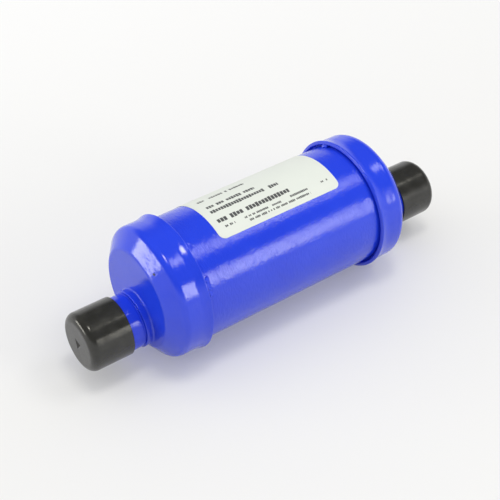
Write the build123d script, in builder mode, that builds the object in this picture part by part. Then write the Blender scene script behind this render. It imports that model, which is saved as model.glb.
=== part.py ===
from build123d import *
import math
import os

# Discharge muffler, lying along X with its connections low, as it comes to rest.
# Inlet end towards -X, outlet end towards +X. Sizes are in millimetres.
# The origin is the middle of the whole length, dust caps included, on the shell's axis.

# Shell
shell_od = 76.2
shell_wall = 1.9
rim_spacing = 124.4
tube_insertion = 13.3

# Heads, drawn from one sheet each
head_sheet = 2.5
head_fit = 0.05
bell_gap = 1.4
bell_run = 8.8
socket_land = 5.0
shoulder_bend = 5.5
cone_angle = 52.0
face_bend = 3.5
face_depth = 11.1

# Necks and connection stubs
stub_drop = 14.0
neck_wall = 1.75
neck_height = 4.2
neck_foot_fillet = 1.0
neck_lip_fillet = 0.45
spigot_step = 1.05
spigot_depth = 8.4
spigot_fit = 0.05
braze_width = 1.1
braze_depth = 0.35
braze_crown = 0.35
stub_edge = 0.5
pipe_od = 28.575
pipe_fit = 0.0625
socket_wall = 2.3
socket_depth = 23.0
stop_length = 6.1
stop_step = 1.25

# Dust caps
cap_length = 26.5
cap_wall = 1.27
cap_end_wall = 1.6
cap_corner = 4.7
cap_fit = 0.05
inlet_cap_gap = 3.4
outlet_cap_gap = 6.1
dimple_size = 2.8
dimple_depth = 0.9
dimple_taper_angle = 40

# Weld and braze metal that holds the heads on the shell
bead_radius = 0.4
bead_clearance = 0.05
tack_leg = 2.2
tack_lip = 0.9
tack_crown = 0.25
inlet_tack_length = 8.0
outlet_tack_length = 4.7
inlet_tack_angle = 71.0
outlet_tack_angle = -16.0

# Label
label_width = 86.0
label_height = 60.0
label_thickness = 0.2
label_corner = 4.0
label_shift = 2.3
label_lower_angle = 30.8
label_lift = 0.03

# Baffles, transfer tubes and diffusers inside
baffle_sheet = 1.2
baffle_skirt = 8.0
baffle_corner = 2.5
baffle_fit = 0.05
baffle_pitch = 36.0
drain_radius = 3.0
transfer_od = 18.0
transfer_wall = 1.0
transfer_length = 28.0
transfer_offset = 15.0
transfer_fit = 0.05
transfer_flare = 0.4
diffuser_wall = 1.0
diffuser_fit = 0.05
diffuser_grip = 8.0
diffuser_reach = 26.0
diffuser_corner = 2.5
diffuser_hole = 4.0
diffuser_rows = 3
diffuser_row_pitch = 7.0
diffuser_hole_count = 8

# Sizes that follow from those above
shell_radius = shell_od / 2
shell_bore_radius = shell_radius - shell_wall
rim = rim_spacing / 2
bell_inner_radius = shell_radius + bell_gap
bell_radius = bell_inner_radius + head_sheet
socket_radius = shell_radius + head_fit + head_sheet
shoulder_start = rim + bell_run + socket_land
face = shoulder_start + face_depth
neck_end = face + neck_height
stub_shoulder = neck_end + braze_width
spigot_end = stub_shoulder - spigot_depth
socket_bottom = stub_shoulder + stop_length
stub_end = socket_bottom + socket_depth
pipe_socket_radius = pipe_od / 2 + pipe_fit
throat_radius = pipe_socket_radius - stop_step
stub_radius = pipe_socket_radius + socket_wall
spigot_radius = stub_radius - spigot_step
neck_bore_radius = spigot_radius + spigot_fit
neck_radius = neck_bore_radius + neck_wall

# The bell's flare is one arc that ends along the socket.
bell_turn = 2 * math.atan((bell_radius - socket_radius) / bell_run)
bell_bend = bell_run / math.sin(bell_turn)

# The cone between the shoulder and the face
cone_turn = math.radians(cone_angle)
cone_start = shoulder_start + shoulder_bend * math.sin(cone_turn)
cone_start_radius = socket_radius - shoulder_bend * (1 - math.cos(cone_turn))
cone_end = face - face_bend * (1 - math.sin(cone_turn))
cone_length = (cone_end - cone_start) / math.cos(cone_turn)

# The neck's low side stands on the cone, so its root lies between there and the face's inner side.
cone_at_neck = cone_start + (cone_start_radius - stub_drop - neck_radius) / math.tan(cone_turn)
neck_root = (min(face, cone_at_neck) + face - head_sheet) / 2

# The bead touches the shell and the flare's inner side, but for its clearance.
bead_reach = bead_radius + bead_clearance
flare_inside = bell_bend + head_sheet
bead_setback = math.sqrt((flare_inside + bead_reach) ** 2 - (flare_inside + head_fit - bead_reach) ** 2)
bead_station = rim + bell_run - bead_setback

cap_inner_radius = stub_radius + cap_fit
cap_outer_radius = cap_inner_radius + cap_wall
middle = (inlet_cap_gap - outlet_cap_gap) / 2
stub_axis = Axis((0, 0, -stub_drop), (1, 0, 0))

INLET = -1
OUTLET = 1

os.makedirs("parts", exist_ok=True)


def section(side, height=0.0):
    """Plane through the axis: local x runs outwards from the shell's middle, local y is up."""
    return Plane(origin=(middle, 0, height), x_dir=(side, 0, 0), z_dir=(0, -side, 0))


def across(side, distance, height=0.0):
    """Plane square to the axis at a distance from the shell's middle, facing outwards."""
    return Plane(origin=(middle + side * distance, 0, height), x_dir=(0, side, 0), z_dir=(side, 0, 0))


def clocked(side, angle):
    """A section plane turned about the axis, its local y at an angle from up towards the front."""
    turn = math.radians(angle)
    normal = (0, -side * math.cos(turn), -side * math.sin(turn))
    return Plane(origin=(middle, 0, 0), x_dir=(side, 0, 0), z_dir=normal)


def make_head(side):
    """Drawn head: flared bell, socket that grips the shell, shoulder, cone, flat face and low neck."""
    with BuildPart() as head:
        with BuildSketch(section(side)):
            with BuildLine():
                mouth_direction = (math.cos(bell_turn), -math.sin(bell_turn))
                bell = JernArc((rim, bell_radius), mouth_direction, bell_bend, math.degrees(bell_turn))
                socket = Line(bell @ 1, (shoulder_start, socket_radius))
                shoulder = JernArc(socket @ 1, (1, 0), shoulder_bend, -cone_angle)
                cone = PolarLine(shoulder @ 1, cone_length, direction=shoulder % 1)
                knuckle = JernArc(cone @ 1, cone % 1, face_bend, cone_angle - 90)
                Line(knuckle @ 1, (face, 0))
                offset(amount=head_sheet, side=Side.RIGHT)
            make_face()
        revolve(axis=Axis.X)
        with BuildSketch(across(side, neck_root, -stub_drop)):
            Circle(neck_radius)
        extrude(amount=neck_end - neck_root)
        foot = head.edges(Select.NEW).filter_by(GeomType.LINE, reverse=True)
        fillet(foot, neck_foot_fillet)
        outwards = Axis((middle, 0, 0), (side, 0, 0))
        lip = head.edges().filter_by(GeomType.CIRCLE).sort_by(outwards)[-1]
        fillet(lip, neck_lip_fillet)
        with BuildSketch(across(side, neck_end, -stub_drop)):
            Circle(neck_bore_radius)
        extrude(amount=-(neck_height + face_depth), mode=Mode.SUBTRACT)
    return head


def make_stub(side):
    """Turned steel connection: spigot in the neck, shoulder outside it, solder socket to a stop."""
    with BuildPart() as stub:
        with BuildSketch(section(side, -stub_drop)):
            with BuildLine():
                Polyline(
                    (spigot_end, throat_radius),
                    (spigot_end, spigot_radius),
                    (stub_shoulder, spigot_radius),
                    (stub_shoulder, stub_radius),
                    (stub_end, stub_radius),
                    (stub_end, pipe_socket_radius),
                    (socket_bottom, pipe_socket_radius),
                    (socket_bottom, throat_radius),
                    close=True,
                )
            make_face()
        revolve(axis=stub_axis)
        widest = stub.edges().filter_by(GeomType.CIRCLE).group_by(SortBy.RADIUS)[-1]
        chamfer(widest, stub_edge)
    return stub


def make_neck_braze(side):
    """Braze ring in the groove between the neck's lip and the stub's shoulder."""
    with BuildPart() as ring:
        with BuildSketch(section(side, -stub_drop)):
            with BuildLine():
                crest = spigot_radius + braze_depth
                base = Polyline(
                    (neck_end, crest),
                    (neck_end, spigot_radius),
                    (stub_shoulder, spigot_radius),
                    (stub_shoulder, crest),
                )
                top = ((neck_end + stub_shoulder) / 2, crest + braze_crown)
                ThreePointArc(base @ 1, top, base @ 0)
            make_face()
        revolve(axis=stub_axis)
    return ring


def make_head_braze(side):
    """Round bead run into the bottom of the gap between the bell mouth and the shell."""
    with BuildPart() as bead:
        with BuildSketch(section(side)):
            with Locations((bead_station, shell_radius + bead_reach)):
                Circle(bead_radius)
        revolve(axis=Axis.X)
    return bead


def make_tacks(side, length, angle):
    """Two tack welds across the gap, opposite each other, from the shell up the rim's edge."""
    half_turn = math.degrees(length / 2 / bell_inner_radius)
    inner = shell_radius + bead_clearance
    root_end = bead_station - bead_reach
    root_wall = shell_radius + 2 * bead_radius
    along_edge = (math.sin(bell_turn), math.cos(bell_turn))
    lip_foot = (rim - head_sheet * along_edge[0], bell_radius - head_sheet * along_edge[1])
    edge_foot = (lip_foot[0] - bead_clearance, lip_foot[1] - bead_clearance)
    edge_top = (edge_foot[0] + tack_lip * along_edge[0], edge_foot[1] + tack_lip * along_edge[1])
    with BuildPart() as tacks:
        for turned in (angle, angle + 180):
            with BuildSketch(clocked(side, turned - half_turn)):
                with BuildLine():
                    legs = Polyline(
                        (rim - tack_leg, inner),
                        (root_end, inner),
                        (root_end, root_wall),
                        edge_foot,
                        edge_top,
                    )
                    SagittaArc(legs @ 1, legs @ 0, -tack_crown)
                make_face()
            revolve(axis=Axis.X, revolution_arc=side * 2 * half_turn)
    return tacks


def make_dust_cap(side, gap):
    """Vinyl cap with a rounded end and a small dimple, pushed over the stub."""
    end = stub_end + gap + cap_end_wall
    mouth = end - cap_length
    with BuildPart() as cap:
        with BuildSketch(section(side, -stub_drop)):
            with BuildLine():
                wall = Line((mouth, cap_outer_radius), (end - cap_corner, cap_outer_radius))
                corner = JernArc(wall @ 1, (1, 0), cap_corner, -90)
                inner_corner = cap_corner - cap_wall
                inner_end = end - cap_end_wall
                rim_line = Line(wall @ 0, (mouth, cap_inner_radius))
                bore = Line(rim_line @ 1, (inner_end - inner_corner, cap_inner_radius))
                inner_arc = JernArc(bore @ 1, (1, 0), inner_corner, -90)
                Polyline(corner @ 1, (end, 0), (inner_end, 0), inner_arc @ 1)
            make_face()
        revolve(axis=stub_axis)
        with BuildSketch(across(side, end, -stub_drop)):
            RegularPolygon(dimple_size, 3)
        extrude(amount=-dimple_depth, taper=dimple_taper_angle, mode=Mode.SUBTRACT)
    return cap


def make_baffle(position, tube_height):
    """Pressed plate with a skirt that fits the shell, a tube seat and an oil drain notch."""
    skirt_radius = shell_bore_radius - baffle_fit
    with BuildPart() as baffle:
        with BuildSketch(section(OUTLET)):
            with BuildLine():
                start = (position + baffle_skirt, skirt_radius)
                FilletPolyline(start, (position, skirt_radius), (position, 0), radius=baffle_corner)
                offset(amount=baffle_sheet, side=Side.LEFT)
            make_face()
        revolve(axis=Axis.X)
        with BuildSketch(across(OUTLET, position - baffle_sheet)):
            with Locations((0, tube_height)):
                Circle(transfer_od / 2 + transfer_fit)
            with Locations((0, -skirt_radius)):
                Circle(drain_radius)
        extrude(amount=baffle_skirt + 2 * baffle_sheet, mode=Mode.SUBTRACT)
    return baffle


def make_transfer_tube(position, height):
    """Short open tube through a baffle, its ends slightly chamfered inside."""
    with BuildPart() as tube:
        with BuildSketch(across(OUTLET, position + baffle_sheet / 2 - transfer_length / 2, height)):
            Circle(transfer_od / 2)
            Circle(transfer_od / 2 - transfer_wall, mode=Mode.SUBTRACT)
        extrude(amount=transfer_length)
        mouths = tube.edges().filter_by(GeomType.CIRCLE).group_by(SortBy.RADIUS)[0]
        chamfer(mouths, transfer_flare)
    return tube


def make_diffuser(side):
    """Perforated thimble pushed into the stub's throat, closed at its inner end."""
    outer = throat_radius - diffuser_fit
    mouth = spigot_end + diffuser_grip
    tip = spigot_end - diffuser_reach
    with BuildPart() as diffuser:
        with BuildSketch(section(side, -stub_drop)):
            with BuildLine():
                FilletPolyline((mouth, outer), (tip, outer), (tip, 0), radius=diffuser_corner)
                offset(amount=diffuser_wall, side=Side.LEFT)
            make_face()
        revolve(axis=stub_axis)
        rows_start = tip + diffuser_corner + diffuser_hole
        for row in range(diffuser_rows):
            station = middle + side * (rows_start + row * diffuser_row_pitch)
            for step in range(diffuser_hole_count // 2):
                turn = math.pi * step / (diffuser_hole_count // 2)
                drill = Plane(
                    origin=(station, 0, -stub_drop),
                    x_dir=(1, 0, 0),
                    z_dir=(0, math.cos(turn), math.sin(turn)),
                )
                with BuildSketch(drill):
                    Circle(diffuser_hole / 2)
                extrude(amount=outer + diffuser_wall, both=True, mode=Mode.SUBTRACT)
    return diffuser


with BuildPart() as shell_tube:
    with BuildSketch(across(INLET, rim + tube_insertion)):
        Circle(shell_radius)
        Circle(shell_bore_radius, mode=Mode.SUBTRACT)
    extrude(amount=-(rim_spacing + 2 * tube_insertion))

# The label is a thin skin wrapped on the shell, its lower edge towards the front.
label_inner = shell_radius + label_lift
label_turn = math.degrees(label_height / shell_radius)
corner_turn = math.degrees(label_corner / shell_radius)
lower_corner = label_lower_angle - corner_turn
upper_corner = label_lower_angle - label_turn + corner_turn
with BuildPart() as label:
    with BuildSketch(clocked(OUTLET, label_lower_angle)):
        with Locations((label_shift, label_inner + label_thickness / 2)):
            Rectangle(label_width, label_thickness)
    revolve(axis=Axis.X, revolution_arc=-label_turn)
    # Each corner is rounded by a square cutter with a round bite, pushed in along the radius.
    for angle, up in ((lower_corner, -1), (upper_corner, 1)):
        for out in (-1, 1):
            centre = clocked(OUTLET, angle)
            radial = Plane(
                origin=centre.origin + Vector(label_shift + out * (label_width / 2 - label_corner), 0, 0),
                x_dir=(out, 0, 0),
                z_dir=centre.y_dir,
            )
            with BuildSketch(radial):
                with Locations((label_corner, out * up * label_corner)):
                    Rectangle(2 * label_corner, 2 * label_corner)
                Circle(label_corner, mode=Mode.SUBTRACT)
            extrude(amount=shell_od, mode=Mode.SUBTRACT)

inlet_head = make_head(INLET)
outlet_head = make_head(OUTLET)
inlet_stub = make_stub(INLET)
outlet_stub = make_stub(OUTLET)
inlet_neck_braze = make_neck_braze(INLET)
outlet_neck_braze = make_neck_braze(OUTLET)
inlet_head_braze = make_head_braze(INLET)
outlet_head_braze = make_head_braze(OUTLET)
inlet_tack_welds = make_tacks(INLET, inlet_tack_length, inlet_tack_angle)
outlet_tack_welds = make_tacks(OUTLET, outlet_tack_length, outlet_tack_angle)
inlet_dust_cap = make_dust_cap(INLET, inlet_cap_gap)
outlet_dust_cap = make_dust_cap(OUTLET, outlet_cap_gap)
inlet_diffuser = make_diffuser(INLET)
outlet_diffuser = make_diffuser(OUTLET)

# Transfer tubes sit high, low and high again, so that no sound path is straight.
inlet_baffle = make_baffle(-baffle_pitch, transfer_offset)
middle_baffle = make_baffle(0, -transfer_offset)
outlet_baffle = make_baffle(baffle_pitch, transfer_offset)
inlet_transfer_tube = make_transfer_tube(-baffle_pitch, transfer_offset)
middle_transfer_tube = make_transfer_tube(0, -transfer_offset)
outlet_transfer_tube = make_transfer_tube(baffle_pitch, transfer_offset)

pieces = {
    "shell_tube": shell_tube,
    "inlet_head": inlet_head,
    "outlet_head": outlet_head,
    "inlet_stub": inlet_stub,
    "outlet_stub": outlet_stub,
    "inlet_neck_braze": inlet_neck_braze,
    "outlet_neck_braze": outlet_neck_braze,
    "inlet_head_braze": inlet_head_braze,
    "outlet_head_braze": outlet_head_braze,
    "inlet_tack_welds": inlet_tack_welds,
    "outlet_tack_welds": outlet_tack_welds,
    "inlet_dust_cap": inlet_dust_cap,
    "outlet_dust_cap": outlet_dust_cap,
    "label": label,
    "inlet_diffuser": inlet_diffuser,
    "outlet_diffuser": outlet_diffuser,
    "inlet_baffle": inlet_baffle,
    "middle_baffle": middle_baffle,
    "outlet_baffle": outlet_baffle,
    "inlet_transfer_tube": inlet_transfer_tube,
    "middle_transfer_tube": middle_transfer_tube,
    "outlet_transfer_tube": outlet_transfer_tube,
}

for name, piece in pieces.items():
    piece.part.label = name
    export_step(piece.part, f"parts/{name}.step")
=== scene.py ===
import math

import bmesh
import bpy
from bpy.props import FloatProperty, FloatVectorProperty, IntProperty, PointerProperty
from bpy.types import Operator, Panel, PropertyGroup
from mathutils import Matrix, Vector, noise


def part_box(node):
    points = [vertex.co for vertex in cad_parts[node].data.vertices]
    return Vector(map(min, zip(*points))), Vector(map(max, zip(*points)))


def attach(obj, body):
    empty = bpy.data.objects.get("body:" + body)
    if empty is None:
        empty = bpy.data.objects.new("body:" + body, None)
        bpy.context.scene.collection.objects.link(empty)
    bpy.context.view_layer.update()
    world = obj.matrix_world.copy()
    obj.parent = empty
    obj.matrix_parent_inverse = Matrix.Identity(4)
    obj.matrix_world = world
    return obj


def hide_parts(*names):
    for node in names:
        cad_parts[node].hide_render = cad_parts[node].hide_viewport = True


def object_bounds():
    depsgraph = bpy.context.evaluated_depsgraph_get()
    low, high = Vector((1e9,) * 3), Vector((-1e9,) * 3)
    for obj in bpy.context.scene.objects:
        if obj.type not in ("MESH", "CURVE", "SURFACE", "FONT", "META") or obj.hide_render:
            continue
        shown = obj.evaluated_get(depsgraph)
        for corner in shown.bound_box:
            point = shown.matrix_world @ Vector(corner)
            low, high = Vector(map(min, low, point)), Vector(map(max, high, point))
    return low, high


bl_info = {
    "name": "Discharge muffler",
    "version": (1, 0, 0),
    "blender": (4, 5, 0),
    "location": "3D View > Sidebar > Muffler",
    "description": "Models the painted muffler, its label and its dust caps on the packed frame",
    "category": "Object",
}

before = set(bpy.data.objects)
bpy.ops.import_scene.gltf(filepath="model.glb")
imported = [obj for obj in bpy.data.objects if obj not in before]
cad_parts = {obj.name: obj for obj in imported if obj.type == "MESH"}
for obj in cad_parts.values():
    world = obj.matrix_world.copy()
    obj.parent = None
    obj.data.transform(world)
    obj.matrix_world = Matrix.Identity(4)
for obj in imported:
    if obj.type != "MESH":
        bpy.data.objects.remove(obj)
CAD_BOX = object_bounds()

# The muffler lies along X, inlet towards -X and outlet towards +X, its connections below its axis.
# Distances called stations run outwards along X from the middle of the shell.
MM = 0.001
SHELL_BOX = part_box("shell_tube")
MIDDLE = (SHELL_BOX[0].x + SHELL_BOX[1].x) / 2
SHELL_RADIUS = SHELL_BOX[1].z
SHELL_END = SHELL_BOX[1].x - MIDDLE
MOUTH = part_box("outlet_head")[0].x - MIDDLE
NECK_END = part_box("outlet_head")[1].x - MIDDLE
STUB_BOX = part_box("outlet_stub")
STUB_RADIUS = (STUB_BOX[1].z - STUB_BOX[0].z) / 2
STUB_AXIS = (STUB_BOX[1].z + STUB_BOX[0].z) / 2
STUB_START = STUB_BOX[0].x - MIDDLE
STUB_END = STUB_BOX[1].x - MIDDLE
STUB_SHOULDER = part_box("outlet_neck_braze")[1].x - MIDDLE
CAP_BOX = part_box("outlet_dust_cap")
CAP_RADIUS = (CAP_BOX[1].z - CAP_BOX[0].z) / 2
BEAD_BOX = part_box("outlet_head_braze")
BEAD_RADIUS = (BEAD_BOX[1].x - BEAD_BOX[0].x) / 2
FLOOR = -CAD_BOX[1].z

ENDS = ("inlet", "outlet")
QUARTER = math.pi / 2

# Mesh fineness: HOLD is how near to each end of a straight run a station keeps its shading flat
ROUND = 256
ARC_STEP = math.radians(4)
HOLD = 0.08 * MM
MERGE = 0.002 * MM
COVE_STEPS = 10
LIP_STEPS = 6
BEAD_WAVE_STEPS = 4
TACK_STEPS = 14
TACK_VOXEL = 0.22 * MM
LABEL_STRIPS = 96
LABEL_CORNER_STEPS = 10
SMOOTH_ANGLE = math.radians(35)
CAP_SMOOTH_ANGLE = math.radians(18)


def length(name, millimetres, description):
    """A length setting, given in millimetres and kept in metres."""
    return FloatProperty(
        name=name,
        description=description,
        default=millimetres * MM,
        precision=5,
        subtype="DISTANCE",
        unit="LENGTH",
    )


def angle(name, degrees, description):
    """An angle setting, given in degrees and kept in radians."""
    return FloatProperty(
        name=name,
        description=description,
        default=math.radians(degrees),
        subtype="ANGLE",
        unit="ROTATION",
    )


def spot(name, place, description):
    """A place setting, in metres."""
    return FloatVectorProperty(
        name=name, description=description, default=place, subtype="TRANSLATION", unit="LENGTH"
    )


def colour(name, red, green, blue, description):
    """A linear colour setting."""
    return FloatVectorProperty(
        name=name, description=description, default=(red, green, blue), subtype="COLOR", min=0, max=1
    )


def factor(name, default, description):
    """A plain share, from nothing to full."""
    return FloatProperty(
        name=name, description=description, default=default, subtype="FACTOR", min=0, max=1
    )


class ShellSettings(PropertyGroup):
    """Sizes of the shell tube"""

    wall: length("Wall", 1.9, "Wall of the tube")
    edge: length("Edge", 0.3, "Rounding of the tube's edges")


class HeadSettings(PropertyGroup):
    """Sizes of the drawn heads"""

    sheet: length("Sheet", 2.5, "Thickness of the drawn sheet")
    lip_edge: length("Lip edge", 0.7, "Rounding of the bell mouth's two edges")
    bell_gap: length("Bell gap", 1.4, "Gap between the shell and the bell mouth")
    bell_run: length("Bell run", 6.6, "Length of the flare from the bell mouth to the socket")
    socket_land: length("Socket land", 7.3, "Straight stretch that grips the shell")
    socket_fit: length("Socket fit", 0.05, "Clearance of the socket on the shell")
    shoulder_bend: length("Shoulder bend", 5.5, "Outer radius between the socket and the cone")
    cone_angle: angle("Cone angle", 52, "Slope of the cone towards the axis")
    cone_foot: length("Cone foot", 33.8, "Radius of the cone's last full ring, just outside the neck")
    face_bend: length("Face bend", 3.5, "Outer radius between the cone and the face")
    neck_height: length("Neck height", 4.2, "Height of the low neck over the face")
    neck_wall: length("Neck wall", 1.75, "Wall of the neck")
    neck_foot: length("Neck foot", 1.0, "Radius of the cove at the neck's foot")
    neck_lip: length("Neck lip", 0.45, "Rounding of the neck's lip")
    rings: IntProperty(
        name="Rings", description="Rings between the cone and the neck", default=80, min=12, max=96
    )


class ConnectionSettings(PropertyGroup):
    """Sizes of the stubs, their braze and the dust caps"""

    spigot_step: length("Spigot step", 1.05, "Step from the stub down to its spigot")
    spigot_fit: length("Spigot fit", 0.05, "Clearance of the spigot in the neck")
    socket_wall: length("Socket wall", 2.3, "Wall of the solder socket")
    socket_depth: length("Socket depth", 23.0, "Depth of the solder socket")
    stop_step: length("Stop step", 1.25, "Step from the socket down to the throat")
    stub_edge: length("Stub edge", 0.5, "Rounding of the stub's outer edges")
    braze_depth: length("Braze depth", 0.35, "Filled height at the sides of the braze ring")
    braze_crown: length("Braze crown", 0.35, "Rise of the braze ring's middle")
    cap_wall: length("Cap wall", 1.27, "Wall of the vinyl cap")
    cap_end_wall: length("Cap end wall", 1.6, "Thickness of the vinyl cap's end")
    cap_corner: length("Cap corner", 4.7, "Radius of the vinyl cap's end corner")
    cap_lip: length("Cap lip", 0.35, "Rounding of the vinyl cap's mouth")
    dimple_size: length("Dimple", 4.2, "Radius of the three-cornered dimple in a cap's end")
    dimple_depth: length("Dimple depth", 1.3, "Depth of the dimple")
    dimple_turn: angle("Dimple turn", 165, "Turn of the dimple about the cap's axis")


class WeldSettings(PropertyGroup):
    """Sizes of the beads and tack welds at the rims"""

    bead_waves: IntProperty(
        name="Bead waves", description="Scallops round the bead in a rim's gap", default=150, min=0
    )
    bead_wave_depth: length("Bead wave depth", 0.22, "Depth of the scallops")
    inlet_tack_leg: length("Inlet tack leg", 4.5, "Reach of an inlet tack weld along the shell")
    outlet_tack_leg: length("Outlet tack leg", 2.4, "Reach of an outlet tack weld along the shell")
    inlet_tack_lip: length("Inlet tack lip", 2.2, "Reach of an inlet tack weld up the rim's edge")
    outlet_tack_lip: length("Outlet tack lip", 1.1, "Reach of an outlet tack weld up the rim's edge")
    inlet_tack_length: length("Inlet tack", 12.0, "Length of the inlet tack welds round the shell")
    outlet_tack_length: length("Outlet tack", 4.7, "Length of the outlet tack welds")
    inlet_tack_angle: angle("Inlet tack angle", 79, "Place of an inlet tack weld, from the top")
    outlet_tack_angle: angle("Outlet tack angle", -16, "Place of an outlet tack weld, from the top")
    tack_lumps: length("Tack lumps", 0.45, "Height of the lumps in a tack weld")
    lump_size: length("Lump size", 1.1, "Size of the lumps in a tack weld")
    clearance: length("Weld clearance", 0.05, "Gap between weld metal and sheet")


class LabelSettings(PropertyGroup):
    """Sizes of the wrapped label"""

    width: length("Width", 86.0, "Size of the label along the shell")
    height: length("Height", 60.0, "Size of the label round the shell")
    thickness: length("Thickness", 0.2, "Thickness of the label stock")
    corner: length("Corner", 4.0, "Radius of the label's corners")
    shift: length("Shift", 2.3, "How far the label sits towards the outlet")
    lower_edge: angle("Lower edge", 30.8, "Angle of the label's lower edge, from the top")
    lift: length("Lift", 0.03, "Glue line between label and shell")


class FinishSettings(PropertyGroup):
    """Colours and gloss of the finishes"""

    paint: colour("Paint", 0.020, 0.066, 0.83, "Blue of the baked paint")
    paint_deep: colour("Deep paint", 0.012, 0.040, 0.69, "Blue where the paint lies thick")
    paint_gloss: factor("Paint roughness", 0.08, "Roughness of the paint")
    ripple: length("Ripple", 0.14, "Depth of the ripple in the paint")
    fleck: colour("Fleck", 0.01, 0.01, 0.04, "Dark inclusion in the inlet head's paint")
    fleck_size: length("Fleck size", 1.0, "Radius of the inclusion")
    fleck_angle: angle("Fleck angle", 31.5, "Place of the inclusion, from the top")
    fleck_radius: length("Fleck radius", 33.5, "Distance of the inclusion from the shell's axis")
    vinyl: colour("Vinyl", 0.022, 0.022, 0.020, "Black of the dipped caps")
    paper: colour("Label", 0.69, 0.73, 0.70, "Silver grey of the label stock")
    ink: colour("Ink", 0.02, 0.02, 0.03, "Dark print on the label")
    steel: colour("Steel", 0.42, 0.42, 0.43, "Bare mild steel")


class StageSettings(PropertyGroup):
    """The camera, the floor and the lights"""

    camera_place: spot("Camera", (-0.33422, -0.44042, 0.44603), "Place of the camera")
    camera_target: spot("Target", (-0.01082, 0.0, -0.003576), "Point that the camera looks at")
    lens: FloatProperty(name="Lens", description="Focal length in millimetres", default=84.956)
    shift_x: FloatProperty(name="Shift X", description="Sideways shift of the picture", default=0.0072)
    shift_y: FloatProperty(name="Shift Y", description="Upward shift of the picture", default=0.0035)
    floor_size: length("Floor", 9000, "Side of the square floor")
    floor: colour("Floor", 0.64, 0.645, 0.66, "Pale floor")
    floor_lift: factor("Floor lift", 0.17, "How much paler the floor is seen near the front")
    back_lift: factor("Back lift", 0.31, "How much paler the floor is seen far back")
    sky_low: factor("Low sky", 0.38, "Strength of the room's soft light at eye level")
    sky_high: factor("High sky", 0.90, "Strength of the room's soft light overhead")
    lamp_tint: colour("Lamp tint", 1.0, 0.97, 0.86, "Colour of the lamps")
    horizon: factor("Horizon", 0.95, "Brightness of the backdrop at eye level")
    ceiling: factor("Ceiling", 0.10, "Brightness of the room overhead")


# Each lamp's name, its compass angle and height in degrees, its distance, width and height in metres,
# and its radiance
LAMPS = (
    ("front_softbox", -63, 19.0, 1.5, 0.46, 0.54, 5.9),
    ("high_softbox", -28.5, 58, 1.5, 0.50, 0.40, 4.5),
    ("top_lamp", -90, 82, 1.5, 0.34, 0.32, 14.0),
    ("back_softbox", 153.5, 13.5, 1.6, 1.13, 0.34, 7.0),
)

# Heights of a ray's direction between which the room's light, and what is seen of the room, change
SKY_RISE = (0.0, 1.0)
BACKDROP_FALL = (0.15, 0.55)

# Distances back between which the floor grows paler, and how much of X counts as back
FLOOR_FADE = (-0.05, 0.6)
FLOOR_SKEW = 0.2


def deselect():
    """Nothing stays selected, and no piece stays in edit mode."""
    if bpy.context.mode != "OBJECT":
        bpy.ops.object.mode_set(mode="OBJECT")
    bpy.ops.object.select_all(action="DESELECT")


def take(piece):
    """Makes one piece the selected and active one."""
    deselect()
    piece.select_set(True)
    bpy.context.view_layer.objects.active = piece


def settle(piece):
    """Puts a piece's place, turn and scale into its mesh."""
    take(piece)
    bpy.ops.object.transform_apply(location=True, rotation=True, scale=True)


def name_piece(name):
    """Names the newest object and its mesh."""
    piece = bpy.context.object
    piece.name = name
    piece.data.name = name
    return piece


def pick(test):
    """Selects the vertices of the piece in edit mode that pass a test, and what lies between them."""
    mesh = bmesh.from_edit_mesh(bpy.context.object.data)
    for vertex in mesh.verts:
        vertex.select_set(test(vertex.co))
    mesh.select_flush_mode()
    bmesh.update_edit_mesh(bpy.context.object.data)


def reshape(move, only_selected=False):
    """Moves vertices of the piece in edit mode to where a rule puts them."""
    mesh = bmesh.from_edit_mesh(bpy.context.object.data)
    for vertex in mesh.verts:
        if vertex.select or not only_selected:
            vertex.co = move(vertex.co)
    bmesh.update_edit_mesh(bpy.context.object.data)


def reshape_piece(piece, move):
    """Moves all vertices of a piece to where a rule puts them."""
    take(piece)
    bpy.ops.object.mode_set(mode="EDIT")
    reshape(move)
    bpy.ops.object.mode_set(mode="OBJECT")


def apply_modifier(piece, kind, **settings):
    """Adds a modifier to a piece and applies it."""
    take(piece)
    bpy.ops.object.modifier_add(type=kind)
    modifier = piece.modifiers[-1]
    for name, value in settings.items():
        setattr(modifier, name, value)
    bpy.ops.object.modifier_apply(modifier=modifier.name)


class Outline:
    """Stations of a turned wall, each a distance along the axis and a radius, drawn run by run."""

    def __init__(self, along, radius, heading=0.0):
        self.along = along
        self.radius = radius
        self.heading = heading
        self.first_heading = heading
        self.stations = [(along, radius)]

    def to(self, along, radius):
        """A straight run to a place, with a station near each end that keeps its shading flat."""
        start = (self.along, self.radius)
        span = math.hypot(along - self.along, radius - self.radius)
        shares = (HOLD / span, 1 - HOLD / span, 1) if span > 3 * HOLD else (1,)
        for share in shares:
            self.along = start[0] + (along - start[0]) * share
            self.radius = start[1] + (radius - start[1]) * share
            self.stations.append((self.along, self.radius))
        return self

    def run(self, span):
        """A straight run ahead."""
        ahead = (math.cos(self.heading) * span, math.sin(self.heading) * span)
        return self.to(self.along + ahead[0], self.radius + ahead[1])

    def bend(self, bend_radius, turn):
        """An arc, to the left by a positive turn."""
        steps = max(3, math.ceil(abs(turn) / ARC_STEP))
        reach = math.copysign(bend_radius, turn)
        centre = (
            self.along - reach * math.sin(self.heading),
            self.radius + reach * math.cos(self.heading),
        )
        for step in range(1, steps + 1):
            heading = self.heading + turn * step / steps
            self.along = centre[0] + reach * math.sin(heading)
            self.radius = centre[1] - reach * math.cos(heading)
            self.stations.append((self.along, self.radius))
        self.heading += turn
        return self


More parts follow.
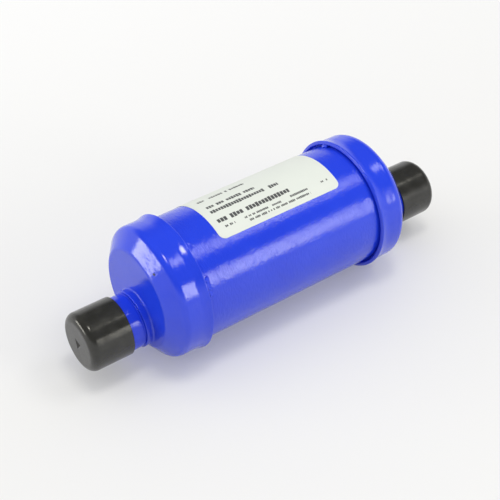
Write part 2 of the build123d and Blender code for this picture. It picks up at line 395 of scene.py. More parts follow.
def draw_chain(name, stations, height=0.0):
    """An edge chain through the stations on the outlet's side, extruded point by point."""
    deselect()
    along, radius = stations[0]
    bpy.ops.mesh.primitive_plane_add(size=MM, location=(MIDDLE + along, 0, height + radius))
    piece = name_piece(name)
    settle(piece)
    bpy.ops.object.mode_set(mode="EDIT")
    bpy.ops.mesh.select_mode(type="VERT")
    bpy.ops.mesh.select_all(action="SELECT")
    bpy.ops.mesh.merge(type="CENTER")
    for (along, radius), (next_along, next_radius) in zip(stations, stations[1:]):
        step = (next_along - along, 0, next_radius - radius)
        bpy.ops.mesh.extrude_vertices_move(TRANSFORM_OT_translate={"value": step})
    return piece


def spin(height=0.0, steps=ROUND):
    """Spins the chain in edit mode once round a line along X and closes the seam."""
    bpy.ops.mesh.select_all(action="SELECT")
    bpy.ops.mesh.spin(steps=steps, angle=math.tau, center=(0, 0, height), axis=(1, 0, 0))
    close_seams()


def close_seams():
    """Merges what lies double and turns all faces outwards."""
    bpy.ops.mesh.select_all(action="SELECT")
    bpy.ops.mesh.remove_doubles(threshold=MERGE)
    bpy.ops.mesh.normals_make_consistent(inside=False)


def smooth(piece, limit=SMOOTH_ANGLE):
    """Shades a piece smoothly, with its sharp edges kept."""
    take(piece)
    bpy.ops.object.shade_smooth_by_angle(angle=limit)


def turned(name, stations, height=0.0):
    """A piece turned from one closed outline."""
    piece = draw_chain(name, stations, height)
    spin(height)
    smooth(piece)
    return piece


def mirror_chain():
    """Mirrors what is selected in edit mode from the outlet's side to the inlet's."""
    bpy.ops.transform.resize(value=(-1, 1, 1), center_override=(MIDDLE, 0, 0))


def mirror_piece(piece):
    """Mirrors an outlet piece to the inlet."""
    take(piece)
    bpy.ops.object.mode_set(mode="EDIT")
    bpy.ops.mesh.select_all(action="SELECT")
    mirror_chain()
    bpy.ops.mesh.normals_make_consistent(inside=False)
    bpy.ops.object.mode_set(mode="OBJECT")


def hand_in(piece, body, node):
    """Lets a piece ride on its body and hides the CAD node that it stands for."""
    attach(piece, body)
    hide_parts(node)


def hand_in_pair(outlet, material, node):
    """Coats an outlet piece, mirrors a copy of it to the inlet, and hangs both on the muffler's body with
    their CAD nodes hidden.
    """
    coat(outlet, material)
    take(outlet)
    bpy.ops.object.duplicate(linked=False)
    inlet = name_piece(outlet.name.replace("outlet", "inlet"))
    mirror_piece(inlet)
    hand_in(inlet, "muffler", f"inlet_{node}")
    hand_in(outlet, "muffler", f"outlet_{node}")


def coat(piece, material):
    """Gives a piece one finish all over."""
    piece.data.materials.clear()
    piece.data.materials.append(material)


class Socket:
    """A node's output that takes part in arithmetic; each operation adds a Math node."""

    def __init__(self, nodes, output):
        self.nodes = nodes
        self.output = output

    def math(self, operation, *values):
        """A Math node on this output and what follows."""
        inputs = dict(enumerate((self,) + values))
        return self.nodes.node("ShaderNodeMath", {"operation": operation}, inputs)

    def __add__(self, other):
        return self.math("ADD", other)

    def __radd__(self, other):
        return self.math("ADD", other)

    def __sub__(self, other):
        return self.math("SUBTRACT", other)

    def __rsub__(self, other):
        return self.nodes.node("ShaderNodeMath", {"operation": "SUBTRACT"}, {0: other, 1: self})

    def __mul__(self, other):
        return self.math("MULTIPLY", other)

    def __truediv__(self, other):
        return self.math("DIVIDE", other)

    def __gt__(self, other):
        return self.math("GREATER_THAN", other)

    def __lt__(self, other):
        return self.math("LESS_THAN", other)

    def __abs__(self):
        return self.math("ABSOLUTE")

    def __pow__(self, other):
        return self.math("POWER", other)

    def floor(self):
        """The whole number below."""
        return self.math("FLOOR")

    def fade(self, low, high, first=0.0, last=1.0):
        """Goes smoothly from first at low to last at high."""
        inputs = {"Value": self, "From Min": low, "From Max": high, "To Min": first, "To Max": last}
        settings = {"interpolation_type": "SMOOTHSTEP"}
        return self.nodes.node("ShaderNodeMapRange", settings, inputs)


class Nodes:
    """A node tree being built."""

    def __init__(self, tree):
        self.tree = tree

    def node(self, kind, settings=None, inputs=None, output=0):
        """Adds a node with its settings, then the values or links of its sockets."""
        node = self.tree.nodes.new(kind)
        for name, value in (settings or {}).items():
            setattr(node, name, value)
        for name, value in (inputs or {}).items():
            self.feed(node.inputs[name], value)
        return Socket(self, node.outputs[output])

    def feed(self, socket, value):
        """Links an output to a socket, or sets the socket's own value."""
        if isinstance(value, Socket):
            self.tree.links.new(value.output, socket)
        elif socket.type == "RGBA":
            socket.default_value = (*value, 1)
        else:
            socket.default_value = value

    def split(self, vector):
        """The three numbers of a vector."""
        node = self.node("ShaderNodeSeparateXYZ", inputs={0: vector}).output.node
        return [Socket(self, output) for output in node.outputs]

    def seen(self):
        """One where the camera, gloss or glass looks, and nothing elsewhere."""
        path = self.node("ShaderNodeLightPath").output.node
        camera, gloss, glass = (
            Socket(self, path.outputs[f"Is {ray} Ray"]) for ray in ("Camera", "Glossy", "Transmission")
        )
        return camera.math("MAXIMUM", gloss).math("MAXIMUM", glass)


class Finish(Nodes):
    """A node material being built."""

    def __init__(self, name, **fixed):
        self.material = bpy.data.materials.new(name)
        self.material.use_nodes = True
        super().__init__(self.material.node_tree)
        self.shader = self.tree.nodes["Principled BSDF"]
        self.surface(**fixed)
        self.point = self.node("ShaderNodeTexCoord", output="Object")

    def surface(self, **inputs):
        """Feeds the shader's sockets."""
        for name, value in inputs.items():
            self.feed(self.shader.inputs[name.replace("_", " ")], value)

    def vector(self, x, y, z):
        """A vector of three numbers."""
        return self.node("ShaderNodeCombineXYZ", inputs={0: x, 1: y, 2: z})

    def noise(self, vector, scale=1.0, detail=2.0, roughness=0.5, w=None):
        """Soft noise about one half; w makes it four-dimensional."""
        inputs = {"Vector": vector, "Scale": scale, "Detail": detail, "Roughness": roughness}
        if w is not None:
            inputs["W"] = w
        return self.node("ShaderNodeTexNoise", {"noise_dimensions": "3D" if w is None else "4D"}, inputs)

    def mix(self, share, first, second):
        """Blends two colours."""
        node = self.tree.nodes.new("ShaderNodeMix")
        node.data_type = "RGBA"
        for socket, value in ((0, share), (6, first), (7, second)):
            self.feed(node.inputs[socket], value)
        return Socket(self, node.outputs[2])

    def bump(self, height, depth):
        """Normals of a height from 0 to 1 over a depth in metres."""
        return self.node("ShaderNodeBump", inputs={"Height": height, "Distance": depth})


def tinted(colour, share):
    """A colour that many times as bright."""
    return [share * part for part in colour]


def clouded_blue(finish, colours, scale=26.0, detail=3.0):
    """The paint's blue, deeper in clouds."""
    cloud = finish.noise(finish.point, scale=scale, detail=detail)
    return finish.mix(cloud, colours.paint_deep, colours.paint)


def polar(x, y, z, axis_height=0.0):
    """Radius from a line along X, and the direction across it as two numbers."""
    up = z - axis_height
    radius = (y * y + up * up) ** 0.5
    return radius, y / radius, up / radius


def paint_tube(colours):
    """Baked blue paint on the rolled tube, rippled across, with a fine orange peel."""
    finish = Finish("blue_paint_on_tube", IOR=1.6)
    x, y, z = finish.split(finish.point)
    ripple_along, ripple_across = 0.95 * MM, 3.0 * MM
    swell_along, swell_across = 2.8 * MM, 4.5 * MM
    ripple_grain = finish.vector(x / ripple_along, y / ripple_across, z / ripple_across)
    swell_grain = finish.vector(x / swell_along, y / swell_across, z / swell_across)
    ripple = finish.noise(ripple_grain, detail=2.0, roughness=0.6)
    swell = finish.noise(swell_grain, detail=1.0)
    finish.surface(
        Base_Color=clouded_blue(finish, colours),
        Roughness=colours.paint_gloss + ripple * 0.08,
        Normal=finish.bump(ripple * 1.5 + swell * 0.4, colours.ripple),
    )
    return finish.material


def paint_head(colours, head):
    """Baked blue paint on a drawn head, its ripples running round the cone and the face."""
    finish = Finish("blue_paint_on_heads", IOR=1.6)
    x, y, z = finish.split(finish.point)
    radius, side, up = polar(x, y, z)
    ring_width = 2.0 * MM
    waves_round = 9
    rings = finish.vector(x / ring_width, side * waves_round, up * waves_round)
    ripple = finish.noise(rings, detail=1.5, roughness=0.5, w=radius / ring_width)
    fine = finish.noise(finish.point, scale=1000.0, detail=1.0)

    # The inclusion sits in the inlet head's cone, a little longer along X than across
    across = -colours.fleck_radius * math.sin(colours.fleck_angle)
    height = colours.fleck_radius * math.cos(colours.fleck_angle)
    station = cone_and_face(head, 0.0)(Vector((0, across, height)))
    along = 2 * MIDDLE - station
    off_x, off_y, off_z = (x - along) * 0.8, y - across, z - height
    distance = (off_x * off_x + off_y * off_y + off_z * off_z) ** 0.5
    raggedness = 1.2 * MM
    ragged = distance + (fine - 0.5) * raggedness
    fleck = 1 - ragged.fade(0.5 * colours.fleck_size, colours.fleck_size)
    finish.surface(
        Base_Color=finish.mix(fleck, clouded_blue(finish, colours), colours.fleck),
        Roughness=colours.paint_gloss + ripple * 0.08 + fleck * 0.3,
        Normal=finish.bump(ripple * 0.9 + fine * 0.3 + fleck * 0.6, colours.ripple * 0.85),
    )
    return finish.material


def paint_stub(colours, connection):
    """Blue paint outside a stub, bare turned steel in its socket and throat."""
    finish = Finish("paint_and_turned_steel", IOR=1.5)
    x, y, z = finish.split(finish.point)
    radius, side, up = polar(x, y, z, STUB_AXIS)
    bare = radius < STUB_RADIUS - connection.socket_wall / 2
    tool_feed = 0.25 * MM
    tool_marks = finish.noise(finish.vector(x / tool_feed, side * 0.4, up * 0.4), detail=1.0)
    peel = finish.noise(finish.point, scale=520.0, detail=1.5)
    finish.surface(
        Base_Color=finish.mix(bare, clouded_blue(finish, colours, scale=60.0), colours.steel),
        Metallic=bare,
        Roughness=colours.paint_gloss + bare * (0.12 + tool_marks * 0.2) + peel * 0.05,
        Normal=finish.bump(tool_marks * bare + peel * (1 - bare), 0.03 * MM),
    )
    return finish.material


def paint_weld(colours):
    """Braze and weld metal under the blue paint, finely rippled."""
    finish = Finish("painted_weld_metal", IOR=1.5)
    grain = finish.noise(finish.point, scale=900.0, detail=3.0, roughness=0.6)
    finish.surface(
        Base_Color=clouded_blue(finish, colours, scale=150.0, detail=2.0),
        Roughness=colours.paint_gloss + grain * 0.12,
        Normal=finish.bump(grain, 0.12 * MM),
    )
    return finish.material


def dipped_vinyl(colours):
    """Semi-gloss black vinyl with the soft unevenness of a dipped moulding."""
    finish = Finish("dipped_black_vinyl", IOR=1.52)
    grain = finish.noise(finish.point, scale=2600.0, detail=2.0, roughness=0.6)
    sag = finish.noise(finish.point, scale=110.0, detail=1.5)
    bloom = finish.noise(finish.point, scale=180.0, detail=4.0)
    finish.surface(
        Base_Color=finish.mix(bloom.fade(0.3, 0.8), colours.vinyl, tinted(colours.vinyl, 1.5)),
        Roughness=0.12 + bloom * 0.08 + grain * 0.04,
        Normal=finish.bump(grain * 0.05 + sag, 0.12 * MM),
    )
    return finish.material


# Print on the label, in millimetres from its upper left corner as it is read from the front:
# where a line of dark bars starts, its length, its middle and its height.
PRINT_LINES = (
    (5.5, 33, 26.0, 2.6),
    (5.5, 34, 35.6, 2.8),
    (5.0, 48, 40.5, 2.9),
    (4.2, 51, 48.4, 3.6),
    (6.5, 7, 53.3, 1.7),
    (20, 26, 53.3, 1.5),
    (53, 13, 52.8, 1.6),
    (76, 5, 52.4, 1.6),
    (22, 44, 55.9, 1.5),
)

# Shares of a line's height: from bar to bar, a bar's least reach up and down, and its unevenness.
# Then the gap's share of the way from bar to bar, and the share of bars that are left out.
BAR_PITCH = 0.62
BAR_REACH = 0.32
BAR_UNEVEN = 0.18
BAR_GAP = 0.18
BARS_LEFT_OUT = 0.14


def print_line(finish, across, down, start, span, middle, height):
    """A line of plain dark bars of uneven width and height."""
    place = (across - start) / (height * BAR_PITCH)
    bar = place.floor()
    chance, taller = (
        finish.node(
            "ShaderNodeTexWhiteNoise", {"noise_dimensions": "2D"}, {"Vector": finish.vector(bar, seed, 0)}
        )
        for seed in (middle, span)
    )
    within = (across > start) * (across < start + span)
    tall = abs(down - middle) < height * BAR_REACH + taller * (height * BAR_UNEVEN)
    return within * tall * (place - bar > BAR_GAP) * (chance > BARS_LEFT_OUT)


def label_stock(colours, sizes):
    """Satin silver-grey label with lines of plain dark bars."""
    finish = Finish("printed_label", IOR=1.45)
    share_across, share_down, _ = finish.split(finish.node("ShaderNodeUVMap", {"uv_map": "flat"}))
    across = share_across * (sizes.width / MM)
    down = share_down * (sizes.height / MM)
    ink = 0.0
    for line in PRINT_LINES:
        ink = print_line(finish, across, down, *line) + ink
    fibre = finish.noise(finish.point, scale=1500.0, detail=3.0)
    sheen = finish.noise(finish.point, scale=30.0, detail=2.0)
    paper = finish.mix(sheen, colours.paper, tinted(colours.paper, 1.08))
    finish.surface(
        Base_Color=finish.mix(ink * 0.92, paper, colours.ink),
        Roughness=0.40 + fibre * 0.08,
        Normal=finish.bump(fibre * 0.3 + sheen, 0.03 * MM),
    )
    return finish.material


def bare_sheet(colours):
    """Bare mild steel with faint drawing lines."""
    finish = Finish("bare_steel_sheet", IOR=1.5, Metallic=1.0)
    x, y, z = finish.split(finish.point)
    lines = finish.noise(finish.vector(x, y, z * 12), scale=300.0, detail=3.0)
    stain = finish.noise(finish.point, scale=70.0, detail=4.0)
    finish.surface(
        Base_Color=finish.mix(stain, colours.steel, tinted(colours.steel, 0.7)),
        Roughness=0.32 + stain * 0.2,
        Normal=finish.bump(lines, 0.02 * MM),
    )
    return finish.material


def pale_floor(stage):
    """Plain pale floor, paler towards the back where the eye, gloss or glass sees it."""
    finish = Finish("pale_floor", IOR=1.3, Emission_Strength=1.0)
    x, y, _ = finish.split(finish.point)
    grain = finish.noise(finish.point, scale=3.0, detail=2.0)
    far = (y + x * FLOOR_SKEW).fade(*FLOOR_FADE, stage.floor_lift, stage.back_lift)
    finish.surface(
        Base_Color=finish.mix(grain, stage.floor, tinted(stage.floor, 0.99)),
        Roughness=0.75 + grain * 0.1,
        Emission_Color=finish.mix(finish.seen() * far, (0, 0, 0), (1, 1, 1)),
    )
    return finish.material


class MUFFLER_OT_shell(Operator):
    """Models the painted shell tube"""

    bl_idname = "muffler.shell"
    bl_label = "Shell tube"

    def execute(self, context):
        sizes = context.scene.muffler_shell
        wall, edge = sizes.wall, sizes.edge
        outline = Outline(SHELL_END - edge, SHELL_RADIUS - wall)
        outline.bend(edge, QUARTER).run(wall - 2 * edge).bend(edge, QUARTER)
        outline.to(edge - SHELL_END, SHELL_RADIUS)
        outline.bend(edge, QUARTER).run(wall - 2 * edge).bend(edge, QUARTER)
        outline.to(SHELL_END - edge, SHELL_RADIUS - wall)
        shell = turned("painted_shell", outline.stations)
        coat(shell, paint_tube(context.scene.muffler_finish))
        hand_in(shell, "muffler", "shell_tube")
        return {"FINISHED"}


def head_wall(head, inwards):
    """The head's wall from its mouth to the cone's last full ring, outside or that far inwards."""
    socket_radius = SHELL_RADIUS + head.socket_fit + head.sheet
    flare = flare_angle(head)
    bell_bend = head.bell_run / math.sin(flare)
    reach = bell_bend + inwards
    heading = head.lip_edge / reach - flare
    bell_end = MOUTH + head.sheet * math.sin(flare) + head.bell_run
    along = bell_end + reach * math.sin(heading)
    wall = Outline(along, socket_radius + bell_bend - reach * math.cos(heading), heading)
    wall.bend(reach, -heading).run(head.socket_land)
    wall.bend(head.shoulder_bend - inwards, -head.cone_angle)
    return wall.run((wall.radius - head.cone_foot) / math.sin(head.cone_angle))


def flare_angle(head):
    """How steeply the bell mouth opens, from one arc that ends along the socket."""
    return 2 * math.atan((head.bell_gap - head.socket_fit) / head.bell_run)


def cone_and_face(head, inwards):
    """A rule for how far out the cone and the face lie at a distance from the shell's axis."""
    cone = head_wall(head, 0.0)
    face = NECK_END - head.neck_height
    slope = math.tan(head.cone_angle)
    bend_start = face - head.face_bend * (1 - math.sin(head.cone_angle))
    flat_radius = cone.radius - (bend_start - cone.along) * slope
    flat_radius -= head.face_bend * math.cos(head.cone_angle)
    bend = head.face_bend - inwards
    bend_reach = bend * math.cos(head.cone_angle)
    centre = MIDDLE + face - head.face_bend

    def station(place):
        beyond = math.hypot(place.y, place.z) - flat_radius
        if beyond > bend_reach:
            return centre + bend * math.sin(head.cone_angle) - (beyond - bend_reach) / slope
        return centre + math.sqrt(bend**2 - max(0.0, beyond) ** 2)

    return station


def extrude_ring(old, new, station_of=None):
    """Extrudes the selected ring from one circle, given as height and radius, to another."""
    step = (0, 0, new[0] - old[0])
    bpy.ops.mesh.extrude_region_move(TRANSFORM_OT_translate={"value": step})
    scale = new[1] / old[1]
    bpy.ops.transform.resize(value=(1, scale, scale), center_override=(0, 0, new[0]))
    if station_of:
        reshape(lambda place: Vector((station_of(place), place.y, place.z)), only_selected=True)


def make_head(name, head, connection):
    """The outlet's head: bell mouth, socket, shoulder, cone, face and neck in one closed sheet."""
    inner = head_wall(head, head.sheet)
    outer = head_wall(head, 0.0)
    lip = Outline(*inner.stations[0], math.pi + inner.first_heading)
    lip.bend(head.lip_edge, QUARTER - flare_angle(head) - lip.heading)
    lip.run(head.sheet - 2 * head.lip_edge)
    lip.bend(head.lip_edge, outer.first_heading - lip.heading)
    stations = inner.stations[:0:-1] + lip.stations[:-1] + outer.stations
    piece = draw_chain(name, stations)
    spin()

    neck_bore = STUB_RADIUS - connection.spigot_step + connection.spigot_fit
    neck_radius = neck_bore + head.neck_wall
    foot_radius = neck_radius + head.neck_foot
    outside = cone_and_face(head, 0.0)
    inside = cone_and_face(head, head.sheet)

    # The cone and the face, in rings whose middles move from the shell's axis to the stub's
    pick(lambda place: abs(place.x - MIDDLE - outer.along) < HOLD / 3)
    circle = (0.0, outer.radius)
    for ring in range(1, head.rings + 1):
        share = (ring / head.rings) ** 2
        following = (STUB_AXIS * share, outer.radius + (foot_radius - outer.radius) * share)
        extrude_ring(circle, following, outside)
        circle = following

    # The cove at the neck's foot
    rise = 0.0
    for step in range(1, COVE_STEPS + 1):
        turn = QUARTER * step / COVE_STEPS
        following = (STUB_AXIS, foot_radius - head.neck_foot * math.sin(turn))
        next_rise = head.neck_foot * (1 - math.cos(turn))
        extrude_ring(circle, following)
        bpy.ops.transform.translate(value=(next_rise - rise, 0, 0))
        circle = following
        rise = next_rise

    # The neck's wall, lip and bore
    extrude_ring(circle, circle)
    bpy.ops.transform.translate(value=(HOLD, 0, 0))
    for along, radius in lip_stations(head, neck_radius, neck_bore):
        following = (STUB_AXIS, radius)
        extrude_ring(circle, following, lambda place: MIDDLE + along)
        circle = following
    extrude_ring(circle, circle, inside)

    # The inside of the face and the cone, back to the chain's start
    inner_rings = head.rings // 2
    inner_radius = inner.radius
    for ring in range(1, inner_rings + 1):
        share = (1 - ring / inner_rings) ** 2
        following = (STUB_AXIS * share, inner_radius + (neck_bore - inner_radius) * share)
        last = ring == inner_rings
        extrude_ring(circle, following, (lambda place: MIDDLE + inner.along) if last else inside)
        circle = following
    close_seams()
    smooth(piece)
    return piece


def lip_stations(head, neck_radius, neck_bore):
    """Stations of the neck from its wall over its rounded lip to the edge of its bore."""
    lip = head.neck_lip
    stations = [(NECK_END - lip - HOLD, neck_radius), (NECK_END - lip, neck_radius)]
    for step in range(1, LIP_STEPS + 1):
        turn = QUARTER * step / LIP_STEPS
        along = NECK_END - lip * (1 - math.sin(turn))
        stations.append((along, neck_radius - lip * (1 - math.cos(turn))))
    return stations + [(NECK_END, neck_bore + HOLD), (NECK_END, neck_bore)]


class MUFFLER_OT_heads(Operator):
    """Models the two drawn heads with their necks"""

    bl_idname = "muffler.heads"
    bl_label = "Heads"

    def execute(self, context):
        scene = context.scene
        material = paint_head(scene.muffler_finish, scene.muffler_head)
        outlet = make_head("outlet_drawn_head", scene.muffler_head, scene.muffler_connection)
        hand_in_pair(outlet, material, "head")
        return {"FINISHED"}


class MUFFLER_OT_stubs(Operator):
    """Models the two connection stubs"""

    bl_idname = "muffler.stubs"
    bl_label = "Connection stubs"

    def execute(self, context):
        scene = context.scene
        connection = scene.muffler_connection
        bore = STUB_RADIUS - connection.socket_wall
        throat = bore - connection.stop_step
        spigot = STUB_RADIUS - connection.spigot_step
        edge = connection.stub_edge
        socket_bottom = STUB_END - connection.socket_depth
        outline = Outline(STUB_START, throat, QUARTER)
        outline.to(STUB_START, spigot).to(STUB_SHOULDER, spigot)
        outline.to(STUB_SHOULDER, STUB_RADIUS - edge)
        outline.bend(edge, -QUARTER).to(STUB_END - edge, STUB_RADIUS)
        outline.bend(edge, -QUARTER).to(STUB_END, bore)
        outline.to(socket_bottom, bore).to(socket_bottom, throat).to(STUB_START, throat)
        outlet = turned("outlet_connection", outline.stations, STUB_AXIS)
        hand_in_pair(outlet, paint_stub(scene.muffler_finish, connection), "stub")
        return {"FINISHED"}


class MUFFLER_OT_neck_braze(Operator):
    """Models the braze rings between the necks and the stubs"""

    bl_idname = "muffler.neck_braze"
    bl_label = "Neck braze"

    def execute(self, context):
        scene = context.scene
        connection = scene.muffler_connection
        spigot = STUB_RADIUS - connection.spigot_step
        crest = spigot + connection.braze_depth
        width = STUB_SHOULDER - NECK_END
        crown = connection.braze_crown
        crown_radius = (width**2 / 4 + crown**2) / (2 * crown)
        opening = math.atan2(width / 2, crown_radius - crown)
        outline = Outline(NECK_END, spigot, QUARTER)
        outline.to(NECK_END, crest)
        outline.heading = opening
        outline.bend(crown_radius, -2 * opening)
        outline.to(STUB_SHOULDER, spigot).to(NECK_END, spigot)
        outlet = turned("outlet_braze_ring", outline.stations, STUB_AXIS)
        hand_in_pair(outlet, paint_weld(scene.muffler_finish), "neck_braze")
        return {"FINISHED"}


class MUFFLER_OT_rim_beads(Operator):
    """Models the scalloped beads in the gaps under the rims"""

    bl_idname = "muffler.rim_beads"
    bl_label = "Rim beads"

    def execute(self, context):
        scene = context.scene
        weld = scene.muffler_weld
        station = (BEAD_BOX[1].x + BEAD_BOX[0].x) / 2 - MIDDLE
        ring_radius = BEAD_BOX[1].z - BEAD_RADIUS
        outline = Outline(station - BEAD_RADIUS, ring_radius, QUARTER)
        for _ in range(4):
            outline.bend(BEAD_RADIUS, -QUARTER)
        outlet = draw_chain("outlet_rim_bead", outline.stations)
        spin(steps=BEAD_WAVE_STEPS * weld.bead_waves)

        def scallop(place):
            turn = math.atan2(place.y, place.z)
            core = Vector((MIDDLE + station, ring_radius * math.sin(turn), ring_radius * math.cos(turn)))
            share = 1 - weld.bead_wave_depth / BEAD_RADIUS * math.sin(turn * weld.bead_waves / 2) ** 2
            return core + (place - core) * share

        reshape(scallop)
        smooth(outlet, math.pi)
        hand_in_pair(outlet, paint_weld(scene.muffler_finish), "head_braze")
        return {"FINISHED"}


class MUFFLER_OT_caps(Operator):
    """Models the two dipped vinyl dust caps"""

    bl_idname = "muffler.caps"
    bl_label = "Dust caps"

    def execute(self, context):
        scene = context.scene
        material = dipped_vinyl(scene.muffler_finish)
        for end in ENDS:
            node = f"{end}_dust_cap"
            mouth, tip = sorted(abs(corner.x - MIDDLE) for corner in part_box(node))
            piece = make_cap(f"{end}_vinyl_cap", mouth, tip, scene.muffler_connection)
            if end == "inlet":
                mirror_piece(piece)
            coat(piece, material)
            hand_in(piece, f"{end}_cap", node)
        return {"FINISHED"}


def make_cap(name, mouth, end, connection):
    """A dust cap on the outlet's side: rounded mouth and end corner, dimple in its end."""
    wall = connection.cap_wall
    lip = connection.cap_lip
    corner = connection.cap_corner
    bore = CAP_RADIUS - wall
    inner_corner = corner - wall
    inner_end = end - connection.cap_end_wall
    outline = Outline(inner_end, 0.0, QUARTER)
    outline.to(inner_end, bore - inner_corner).bend(inner_corner, QUARTER)
    outline.to(mouth + lip, bore)
    outline.bend(lip, -QUARTER).run(wall - 2 * lip).bend(lip, -QUARTER)
    outline.to(end - corner, CAP_RADIUS).bend(corner, -QUARTER)
    outline.to(end, 0.0)
    piece = draw_chain(name, outline.stations, STUB_AXIS)
    spin(STUB_AXIS, ROUND // 2)
    deselect()
    # A pyramid with its middle on the cap's end cuts a dimple of half its size and height
    bpy.ops.mesh.primitive_cone_add(
        vertices=3,
        radius1=2 * connection.dimple_size,
        radius2=0,
        depth=2 * connection.dimple_depth,
        location=(MIDDLE + end, 0, STUB_AXIS),
        rotation=(0, -QUARTER, 0),
    )
    cutter = name_piece("dimple_cutter")
    settle(cutter)
    cos, sin = math.cos(connection.dimple_turn), math.sin(connection.dimple_turn)

    def turn(place):
        up = place.z - STUB_AXIS
        return Vector((place.x, place.y * cos - up * sin, STUB_AXIS + place.y * sin + up * cos))

    reshape_piece(cutter, turn)
    apply_modifier(piece, "BOOLEAN", operation="DIFFERENCE", object=cutter, solver="EXACT")
    bpy.data.objects.remove(cutter)
    smooth(piece, CAP_SMOOTH_ANGLE)
    return piece


class MUFFLER_OT_tacks(Operator):
    """Models the tack welds that bridge the gaps under the rims"""

    bl_idname = "muffler.tacks"
    bl_label = "Tack welds"

    def execute(self, context):
        scene = context.scene
        weld = scene.muffler_weld
        material = paint_weld(scene.muffler_finish)
        for end in ENDS:
            piece = make_tacks(f"{end}_weld_tacks", end, weld, scene.muffler_head)
            coat(piece, material)
            hand_in(piece, "muffler", f"{end}_tack_welds")
        return {"FINISHED"}


def make_tacks(name, end, weld, head):
    """Two lumpy tack welds opposite each other, from the shell up the rim's edge."""
    span, leg, lip, place_angle = (
        getattr(weld, f"{end}_tack_{size}") for size in ("length", "leg", "lip", "angle")
    )
    bell_inner = SHELL_RADIUS + head.bell_gap
    flare = flare_angle(head)
    foot = SHELL_RADIUS + weld.clearance
    root = BEAD_BOX[0].x - MIDDLE - weld.clearance
    lip_foot = bell_inner + head.sheet * (1 - math.cos(flare)) - weld.clearance
    lip_station = MOUTH - weld.clearance
    half_turn = span / 2 / bell_inner
    stations = (
        (MOUTH + head.sheet * math.sin(flare) - leg, foot),
        (root, foot),
        (root, SHELL_RADIUS + 2 * BEAD_RADIUS),
        (lip_station, lip_foot),
        (lip_station + lip * math.sin(flare), lip_foot + lip * math.cos(flare)),
    )
    lumps = []
    for turned_by in (place_angle, place_angle + math.pi):
        piece = draw_chain(name, stations)
        bpy.ops.mesh.select_all(action="SELECT")
        bpy.ops.mesh.edge_face_add()
        if end == "inlet":
            mirror_chain()
        turn = turned_by - half_turn
        reshape(lambda place: Vector((place.x, -place.z * math.sin(turn), place.z * math.cos(turn))))
        bpy.ops.mesh.spin(steps=TACK_STEPS, angle=2 * half_turn, center=(0, 0, 0), axis=(1, 0, 0))
        close_seams()
        bpy.ops.object.mode_set(mode="OBJECT")
        lumps.append(piece)
    for lump in lumps:
        lump.select_set(True)
    bpy.context.view_layer.objects.active = lumps[0]
    bpy.ops.object.join()
    piece = name_piece(name)
    apply_modifier(piece, "REMESH", mode="VOXEL", voxel_size=TACK_VOXEL)
    apply_modifier(piece, "SMOOTH", factor=0.8, iterations=6)
    reshape_piece(
        piece, lambda place: place + noise.noise_vector(place / weld.lump_size) * weld.tack_lumps
    )
    smooth(piece, math.pi)
    return piece


class MUFFLER_OT_label(Operator):
    """Models the label wrapped on the shell"""

    bl_idname = "muffler.label"
    bl_label = "Label"

    def execute(self, context):
        scene = context.scene
        sizes = scene.muffler_label
        radius = SHELL_RADIUS + sizes.lift
        left = MIDDLE + sizes.shift - sizes.width / 2
        deselect()
        bpy.ops.mesh.primitive_plane_add(size=1.0, location=(left + sizes.width / 2, -sizes.height / 2, 0))
        piece = name_piece("wrapped_label")
        piece.scale = (sizes.width, sizes.height, 1)
        settle(piece)
        bpy.ops.object.mode_set(mode="EDIT")
        bpy.ops.mesh.select_mode(type="VERT")
        bpy.ops.mesh.select_all(action="SELECT")
        bpy.ops.mesh.bevel(offset=sizes.corner, segments=LABEL_CORNER_STEPS, affect="VERTICES")
        for strip in range(1, LABEL_STRIPS):
            bpy.ops.mesh.select_all(action="SELECT")
            cut = (0, -sizes.height * strip / LABEL_STRIPS, 0)
            bpy.ops.mesh.bisect(plane_co=cut, plane_no=(0, 1, 0))
        bpy.ops.object.mode_set(mode="OBJECT")
        lay_flat_map(piece, left, sizes)
        upper_edge = sizes.lower_edge - sizes.height / SHELL_RADIUS

        def wrap(place):
            turn = upper_edge - place.y / SHELL_RADIUS
            return Vector((place.x, -radius * math.sin(turn), radius * math.cos(turn)))

        reshape_piece(piece, wrap)
        apply_modifier(piece, "SOLIDIFY", thickness=sizes.thickness, offset=1.0)
        smooth(piece)
        coat(piece, label_stock(scene.muffler_finish, sizes))
        hand_in(piece, "muffler", "label")
        return {"FINISHED"}


def lay_flat_map(piece, left, sizes):
    """A map from the label's upper left corner, across and down, each from 0 to 1."""
    layer = piece.data.uv_layers.active or piece.data.uv_layers.new()
    layer.name = "flat"
    for loop in piece.data.loops:
        place = piece.data.vertices[loop.vertex_index].co
        layer.data[loop.index].uv = ((place.x - left) / sizes.width, -place.y / sizes.height)


class MUFFLER_OT_internals(Operator):
    """Gives the baffles, transfer tubes and diffusers their bare steel"""

    bl_idname = "muffler.internals"
    bl_label = "Baffles and diffusers"

    def execute(self, context):
        steel = bare_sheet(context.scene.muffler_finish)
        for name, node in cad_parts.items():
            if name.endswith(("_baffle", "_transfer_tube", "_diffuser")):
                coat(node, steel)
        return {"FINISHED"}


def aim(place, target):
    """The turn that points an object's -Z from a place to a target, its Y up."""
    return (Vector(target) - Vector(place)).to_track_quat("-Z", "Y").to_euler()


def direction(azimuth, elevation):
    """Unit vector by its compass angle from +X towards +Y and its height, in degrees."""
    a, e = math.radians(azimuth), math.radians(elevation)
    return Vector((math.cos(a) * math.cos(e), math.sin(a) * math.cos(e), math.sin(e)))


def softbox(name, azimuth, elevation, distance, width, height, radiance, tint):
    """A rectangular lamp that looks at the object, as bright all over as its radiance says."""
    place = direction(azimuth, elevation) * distance
    deselect()
    bpy.ops.object.light_add(type="AREA", location=place, rotation=aim(place, (0, 0, 0)))
    lamp = bpy.context.object
    lamp.name = name
    lamp.data.shape = "RECTANGLE"
    lamp.data.size = width
    lamp.data.size_y = height
    lamp.data.energy = radiance * math.pi * width * height
    lamp.data.color = tint


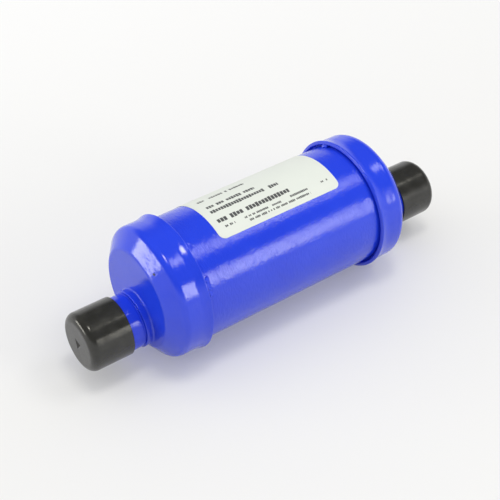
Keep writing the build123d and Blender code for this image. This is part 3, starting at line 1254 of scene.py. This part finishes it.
def light_room(stage):
    """Even light from all round, and a pale background where the camera, gloss or glass sees it."""
    world = bpy.data.worlds.new("studio")
    bpy.context.scene.world = world
    world.use_nodes = True
    room = Nodes(world.node_tree)
    room.tree.nodes.clear()
    height = room.split(room.node("ShaderNodeTexCoord", output="Generated"))[2]
    light, backdrop = (
        room.node("ShaderNodeBackground", inputs={"Color": (1, 1, 1), "Strength": strength})
        for strength in (
            height.fade(*SKY_RISE, stage.sky_low, stage.sky_high),
            height.fade(*BACKDROP_FALL, stage.horizon, stage.ceiling),
        )
    )
    shade = room.node("ShaderNodeMixShader", inputs={0: room.seen(), 1: light, 2: backdrop})
    room.feed(room.tree.nodes.new("ShaderNodeOutputWorld").inputs["Surface"], shade)


class MUFFLER_OT_stage(Operator):
    """Sets the camera, the floor and the lights"""

    bl_idname = "muffler.stage"
    bl_label = "Stage"

    def execute(self, context):
        scene = context.scene
        stage = scene.muffler_stage
        scene.view_settings.view_transform = "Standard"
        deselect()
        turn = aim(stage.camera_place, stage.camera_target)
        bpy.ops.object.camera_add(location=stage.camera_place, rotation=turn)
        camera = bpy.context.object
        camera.data.lens = stage.lens
        camera.data.sensor_width = 36
        camera.data.shift_x = stage.shift_x
        camera.data.shift_y = stage.shift_y
        scene.camera = camera
        deselect()
        bpy.ops.mesh.primitive_plane_add(size=stage.floor_size, location=(0, 0, FLOOR))
        floor = name_piece("floor")
        settle(floor)
        coat(floor, pale_floor(stage))
        light_room(stage)
        for lamp in LAMPS:
            softbox(*lamp, stage.lamp_tint)
        return {"FINISHED"}


class MUFFLER_PT_panel(Panel):
    """Lists the pieces in the order in which they are made"""

    bl_idname = "MUFFLER_PT_panel"
    bl_label = "Discharge muffler"
    bl_space_type = "VIEW_3D"
    bl_region_type = "UI"
    bl_category = "Muffler"

    def draw(self, context):
        for operator in OPERATORS:
            self.layout.operator(operator.bl_idname)


SETTINGS = {
    "muffler_shell": ShellSettings,
    "muffler_head": HeadSettings,
    "muffler_connection": ConnectionSettings,
    "muffler_weld": WeldSettings,
    "muffler_label": LabelSettings,
    "muffler_finish": FinishSettings,
    "muffler_stage": StageSettings,
}
OPERATORS = (
    MUFFLER_OT_stage,
    MUFFLER_OT_shell,
    MUFFLER_OT_heads,
    MUFFLER_OT_stubs,
    MUFFLER_OT_neck_braze,
    MUFFLER_OT_rim_beads,
    MUFFLER_OT_tacks,
    MUFFLER_OT_caps,
    MUFFLER_OT_label,
    MUFFLER_OT_internals,
)
CLASSES = tuple(SETTINGS.values()) + OPERATORS + (MUFFLER_PT_panel,)


def register():
    for cls in CLASSES:
        bpy.utils.register_class(cls)
    for name, settings in SETTINGS.items():
        setattr(bpy.types.Scene, name, PointerProperty(type=settings))


def unregister():
    for name in SETTINGS:
        delattr(bpy.types.Scene, name)
    for cls in reversed(CLASSES):
        bpy.utils.unregister_class(cls)


def main():
    register()
    for operator in OPERATORS:
        group, name = operator.bl_idname.split(".")
        getattr(getattr(bpy.ops, group), name)()


if __name__ == "__main__":
    main()
